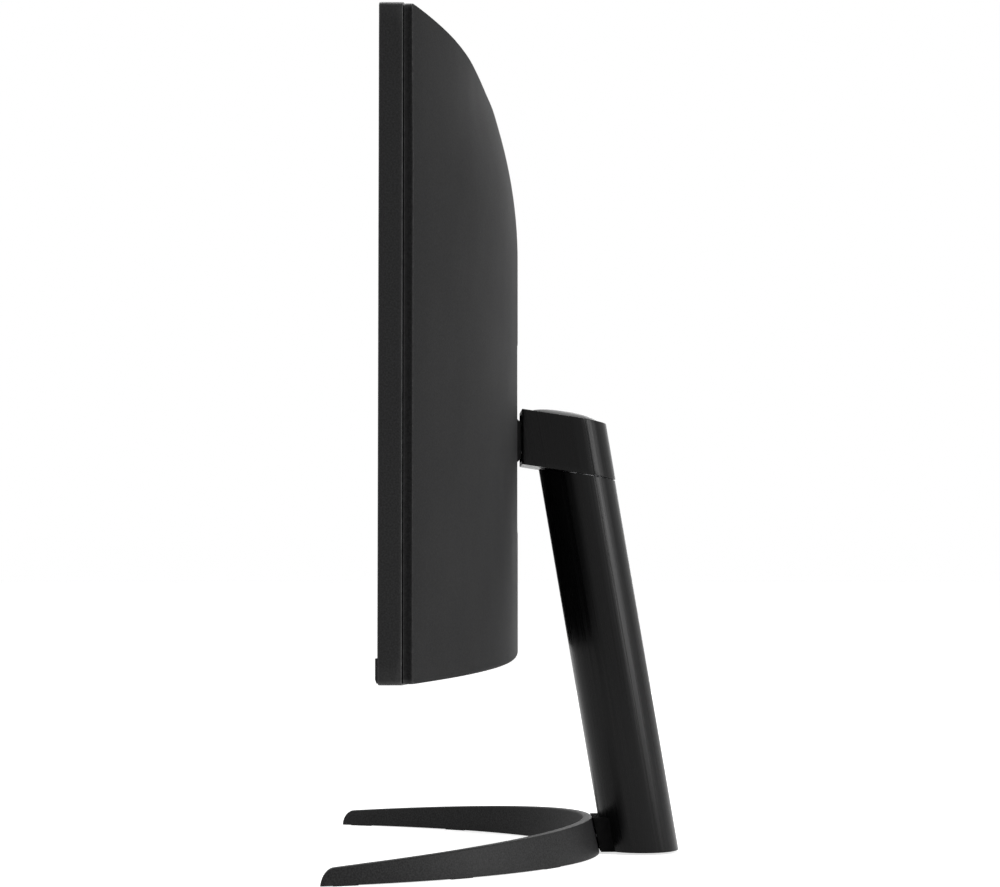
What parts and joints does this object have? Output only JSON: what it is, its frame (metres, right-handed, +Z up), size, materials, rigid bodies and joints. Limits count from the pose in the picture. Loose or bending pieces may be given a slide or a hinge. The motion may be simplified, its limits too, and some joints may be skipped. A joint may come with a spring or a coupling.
{
  "type": "curved computer monitor",
  "caption": "Wide curved desktop monitor with a thin frame, bulged rear cover, tilting head on a leaning height-adjustable column and an arc-shaped foot.",
  "frame": {"origin": "on the desk, below the middle of the whole object's box", "axes": "+X to the user's right along the display, +Y from the screen to the back, +Z up"},
  "size_m": [0.81, 0.2382, 0.4972],
  "materials": {
    "frame_plastic": "fine matt texture, near black",
    "chin_plastic": "fine matt texture, near black",
    "cover_plastic": "fine matt texture, near black",
    "trim_plastic": "smooth matt black",
    "screen_glass": "anti-glare, dark when off",
    "panel_frame": "moulded",
    "optical_film": "translucent white",
    "guide_acrylic": "clear with a fine dot pattern",
    "led_strip": "white board with small light packages",
    "sheet_steel": "zinc-coated sheet",
    "shield_steel": "tinned sheet",
    "circuit_board": "green solder mask",
    "socket_shell": "plated",
    "socket_body": "moulded black",
    "spacer_brass": "turned",
    "screw_steel": "plated",
    "pin_steel": "ground",
    "foot_paint": "satin black powder coat",
    "pad_rubber": "soft black",
    "column_finish": "black, brushed around, semi-gloss",
    "head_finish": "black, brushed look, semi-gloss",
    "leaf_paint": "satin black",
    "inner_metal": "satin",
    "casting": "as cast",
    "glide_plastic": "self-lubricating",
    "strut_paint": "satin dark",
    "lens_plastic": "clear light pipe"
  },
  "bodies": {
    "stand": {"base_ring": "foot_paint", "foot_pads": "pad_rubber", "base_neck": "foot_paint", "base_screws": "screw_steel", "base_thumb_screw": "screw_steel", "column_tube": "column_finish", "column_foot_block": "casting", "column_top_bush": "glide_plastic", "lift_cylinder": "strut_paint", "lift_gland": "glide_plastic"},
    "carriage": {"inner_column": "inner_metal", "column_lower_glide": "glide_plastic", "lift_rod": "pin_steel", "column_screws": "screw_steel", "head_shell": "head_finish", "head_top_cap": "head_finish", "head_bracket": "casting", "hinge_pin": "pin_steel", "hinge_washers": "spacer_brass", "hinge_nut": "screw_steel"},
    "display": {"mount_leaf": "leaf_paint", "mount_bracket": "sheet_steel", "bracket_screws": "screw_steel", "latch_spring": "pin_steel", "front_frame": "frame_plastic", "chin_bar": "chin_plastic", "rear_cover": "cover_plastic", "vent_grille": "trim_plastic", "io_plate": "trim_plastic", "lcd_cell": "screen_glass", "optical_sheets": "optical_film", "light_guide": "guide_acrylic", "reflector_sheet": "optical_film", "led_bar": "led_strip", "mid_frame": "panel_frame", "back_chassis": "sheet_steel", "main_board": "circuit_board", "board_shield": "shield_steel", "tcon_board": "circuit_board", "tcon_shield": "shield_steel", "board_standoffs": "spacer_brass", "hdmi_sockets": "socket_shell", "display_port_socket": "socket_shell", "dc_jack": "socket_body", "headphone_jack": "socket_body", "lock_slot_plate": "sheet_steel", "joystick_housing": "trim_plastic", "joystick_board": "circuit_board", "led_lens": "lens_plastic"},
    "release": {"release_button": "trim_plastic", "release_latch": "glide_plastic"},
    "stick_gimbal": {"joystick_gimbal": "glide_plastic"},
    "stick_stem": {"joystick_stem": "glide_plastic"},
    "stick_cap": {"joystick_cap": "trim_plastic"}
  },
  "joints": [
    {"name": "height_slide", "type": "slide", "parent": "stand", "child": "carriage", "axis": [0, -0.1676, 0.9859], "range_m": [0, 0.11]},
    {"name": "tilt", "type": "hinge", "parent": "carriage", "child": "display", "pos_m": [0, 0.02431, 0.2835], "axis": [-1, 0, 0], "range_deg": [-5, 15]},
    {"name": "release_slide", "type": "slide", "parent": "display", "child": "release", "axis": [0, 0, -1], "range_m": [0, 0.0035], "stiffness_N_per_m": 600, "springref_m": -0.002, "deforming": ["latch_spring"]},
    {"name": "stick_tip_x", "type": "hinge", "parent": "display", "child": "stick_gimbal", "pos_m": [0, -0.00869, 0.1447], "axis": [1, 0, 0], "range_deg": [-8, 8], "stiffness_Nm_per_rad": 0.05},
    {"name": "stick_tip_y", "type": "hinge", "parent": "stick_gimbal", "child": "stick_stem", "pos_m": [0, -0.00869, 0.1447], "axis": [0, 1, 0], "range_deg": [-8, 8], "stiffness_Nm_per_rad": 0.05},
    {"name": "stick_press", "type": "slide", "parent": "stick_stem", "child": "stick_cap", "axis": [0, 0, 1], "range_m": [0, 0.0008], "stiffness_N_per_m": 2000, "springref_m": -0.0004}
  ]
}
